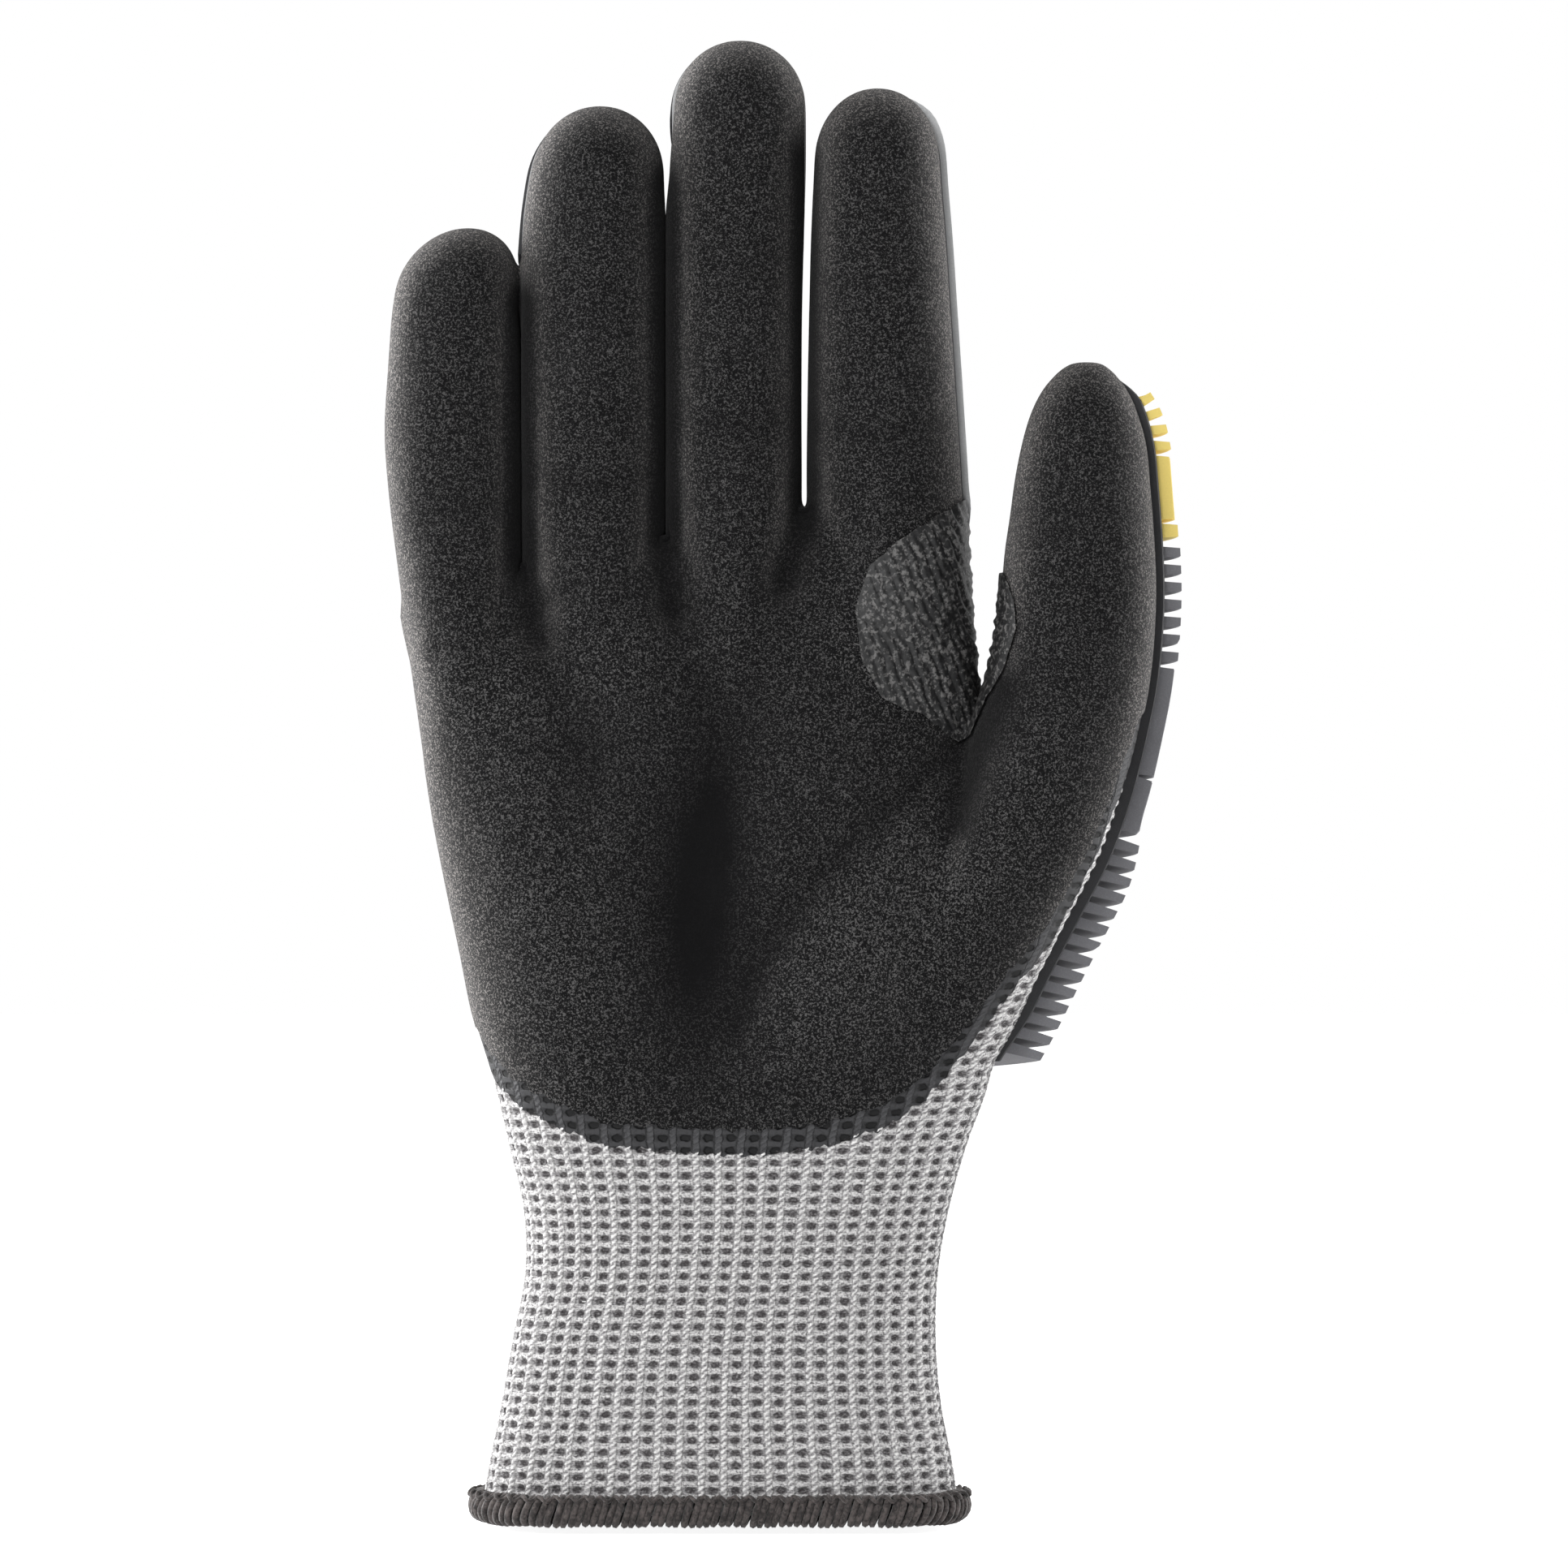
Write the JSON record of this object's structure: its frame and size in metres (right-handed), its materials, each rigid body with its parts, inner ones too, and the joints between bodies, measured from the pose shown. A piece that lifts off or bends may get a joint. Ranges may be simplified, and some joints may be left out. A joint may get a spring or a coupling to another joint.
{
  "type": "cut resistant glove",
  "caption": "Right-hand cut-resistant work glove: knitted liner and long cuff, sandy coated palm and fingers, moulded back guards; the fingers and thumb bend.",
  "frame": {"origin": "middle of the wrist opening, on the plane of the hem's edge", "axes": "+Z towards the fingertips, -Y the way the palm faces, +X the thumb's side"},
  "size_m": [0.1309, 0.0383, 0.25],
  "materials": {
    "knit": "salt-and-pepper cut-resistant knit, matt",
    "sandy_nitrile": "sandy, grainy matt nitrile",
    "smooth_nitrile": "thin smooth nitrile with the knit showing through",
    "patch_nitrile": "ridged nitrile, satin",
    "charcoal_rubber": "matt moulded thermoplastic rubber",
    "grey_rubber": "matt moulded thermoplastic rubber",
    "yellow_rubber": "matt moulded thermoplastic rubber",
    "hem_thread": "textured overlock thread",
    "guard_thread": "sewing thread",
    "elastic_thread": "covered elastic thread"
  },
  "bodies": {
    "palm": {"hand_liner": "knit", "cuff_liner": "knit", "cuff_hem": "hem_thread", "hem_stitching": "hem_thread", "cuff_elastic": "elastic_thread", "palm_base_coat": "smooth_nitrile", "palm_grip_coat": "sandy_nitrile", "thumb_crotch_patch": "patch_nitrile", "knuckle_guard_base": "charcoal_rubber", "knuckle_bumpers": "grey_rubber", "thumb_root_guard_base": "charcoal_rubber", "thumb_root_ribs": "grey_rubber", "guard_stitching": "guard_thread"},
    "thumb_lower": {"thumb_liner_base": "knit", "thumb_coat_base": "sandy_nitrile", "thumb_guard_base": "charcoal_rubber", "thumb_ribs": "grey_rubber"},
    "thumb_upper": {"thumb_liner_tip": "knit", "thumb_coat_tip": "sandy_nitrile", "thumb_guard_tip": "charcoal_rubber", "thumb_bumper": "yellow_rubber"},
    "index_proximal": {"index_liner_base": "knit", "index_coat_base": "sandy_nitrile", "index_guard_base": "grey_rubber"},
    "index_middle": {"index_liner_middle": "knit", "index_coat_middle": "sandy_nitrile", "index_guard_middle": "grey_rubber"},
    "index_distal": {"index_liner_tip": "knit", "index_coat_tip": "sandy_nitrile", "index_guard_tip": "yellow_rubber"},
    "middle_proximal": {"middle_liner_base": "knit", "middle_coat_base": "sandy_nitrile", "middle_guard_base": "grey_rubber"},
    "middle_middle": {"middle_liner_middle": "knit", "middle_coat_middle": "sandy_nitrile", "middle_guard_middle": "grey_rubber"},
    "middle_distal": {"middle_liner_tip": "knit", "middle_coat_tip": "sandy_nitrile", "middle_guard_tip": "yellow_rubber"},
    "ring_proximal": {"ring_liner_base": "knit", "ring_coat_base": "sandy_nitrile", "ring_guard_base": "grey_rubber"},
    "ring_middle": {"ring_liner_middle": "knit", "ring_coat_middle": "sandy_nitrile", "ring_guard_middle": "grey_rubber"},
    "ring_distal": {"ring_liner_tip": "knit", "ring_coat_tip": "sandy_nitrile", "ring_guard_tip": "yellow_rubber"},
    "little_proximal": {"little_liner_base": "knit", "little_coat_base": "sandy_nitrile", "little_guard_base": "grey_rubber"},
    "little_middle": {"little_liner_middle": "knit", "little_coat_middle": "sandy_nitrile", "little_guard_middle": "grey_rubber"},
    "little_distal": {"little_liner_tip": "knit", "little_coat_tip": "sandy_nitrile", "little_guard_tip": "yellow_rubber"}
  },
  "joints": [
    {"name": "index_base_bend", "type": "hinge", "parent": "palm", "child": "index_proximal", "pos_m": [0.0278, -0.0025, 0.17952], "axis": [1, 0, 0], "range_deg": [0, 70], "stiffness_Nm_per_rad": 0.12, "deforming": ["index_coat_base"]},
    {"name": "index_middle_bend", "type": "hinge", "parent": "index_proximal", "child": "index_middle", "pos_m": [0.0278, -0.0025, 0.19585], "axis": [1, 0, 0], "range_deg": [0, 75], "stiffness_Nm_per_rad": 0.12, "deforming": ["index_coat_middle"]},
    {"name": "index_tip_bend", "type": "hinge", "parent": "index_middle", "child": "index_distal", "pos_m": [0.0278, -0.0025, 0.21573], "axis": [1, 0, 0], "range_deg": [0, 37.5], "stiffness_Nm_per_rad": 0.12, "deforming": ["index_coat_tip"]},
    {"name": "middle_base_bend", "type": "hinge", "parent": "palm", "child": "middle_proximal", "pos_m": [0.003, -0.0025, 0.18048], "axis": [1, 0, 0], "range_deg": [0, 70], "stiffness_Nm_per_rad": 0.12, "deforming": ["middle_coat_base"]},
    {"name": "middle_middle_bend", "type": "hinge", "parent": "middle_proximal", "child": "middle_middle", "pos_m": [0.003, -0.0025, 0.19865], "axis": [1, 0, 0], "range_deg": [0, 75], "stiffness_Nm_per_rad": 0.12, "deforming": ["middle_coat_middle"]},
    {"name": "middle_tip_bend", "type": "hinge", "parent": "middle_middle", "child": "middle_distal", "pos_m": [0.003, -0.0025, 0.22077], "axis": [1, 0, 0], "range_deg": [0, 37.5], "stiffness_Nm_per_rad": 0.12, "deforming": ["middle_coat_tip"]},
    {"name": "ring_base_bend", "type": "hinge", "parent": "palm", "child": "ring_proximal", "pos_m": [-0.021, -0.0025, 0.17564], "axis": [1, 0, 0], "range_deg": [0, 70], "stiffness_Nm_per_rad": 0.12, "deforming": ["ring_coat_base"]},
    {"name": "ring_middle_bend", "type": "hinge", "parent": "ring_proximal", "child": "ring_middle", "pos_m": [-0.021, -0.0025, 0.1922], "axis": [1, 0, 0], "range_deg": [0, 75], "stiffness_Nm_per_rad": 0.12, "deforming": ["ring_coat_middle"]},
    {"name": "ring_tip_bend", "type": "hinge", "parent": "ring_middle", "child": "ring_distal", "pos_m": [-0.021, -0.0025, 0.21236], "axis": [1, 0, 0], "range_deg": [0, 37.5], "stiffness_Nm_per_rad": 0.12, "deforming": ["ring_coat_tip"]},
    {"name": "little_base_bend", "type": "hinge", "parent": "palm", "child": "little_proximal", "pos_m": [-0.0445, -0.0025, 0.1679], "axis": [1, 0, 0], "range_deg": [0, 70], "stiffness_Nm_per_rad": 0.12, "deforming": ["little_coat_base"]},
    {"name": "little_middle_bend", "type": "hinge", "parent": "little_proximal", "child": "little_middle", "pos_m": [-0.0445, -0.0025, 0.18113], "axis": [1, 0, 0], "range_deg": [0, 75], "stiffness_Nm_per_rad": 0.12, "deforming": ["little_coat_middle"]},
    {"name": "little_tip_bend", "type": "hinge", "parent": "little_middle", "child": "little_distal", "pos_m": [-0.0445, -0.0025, 0.19722], "axis": [1, 0, 0], "range_deg": [0, 37.5], "stiffness_Nm_per_rad": 0.12, "deforming": ["little_coat_tip"]},
    {"name": "thumb_swing", "type": "hinge", "parent": "palm", "child": "thumb_lower", "pos_m": [0.0603, -0.0095, 0.149], "axis": [1, 0, 0], "range_deg": [0, 40], "stiffness_Nm_per_rad": 0.12, "deforming": ["thumb_coat_base"]},
    {"name": "thumb_tip_bend", "type": "hinge", "parent": "thumb_lower", "child": "thumb_upper", "pos_m": [0.05887, -0.00905, 0.172], "axis": [0.8192, -0.5736, 0], "range_deg": [0, 45], "stiffness_Nm_per_rad": 0.12, "deforming": ["thumb_coat_tip"]}
  ],
  "couplings": [
    {"joint": "index_tip_bend", "follows": "index_middle_bend", "ratio": 0.5},
    {"joint": "middle_tip_bend", "follows": "middle_middle_bend", "ratio": 0.5},
    {"joint": "ring_tip_bend", "follows": "ring_middle_bend", "ratio": 0.5},
    {"joint": "little_tip_bend", "follows": "little_middle_bend", "ratio": 0.5}
  ]
}
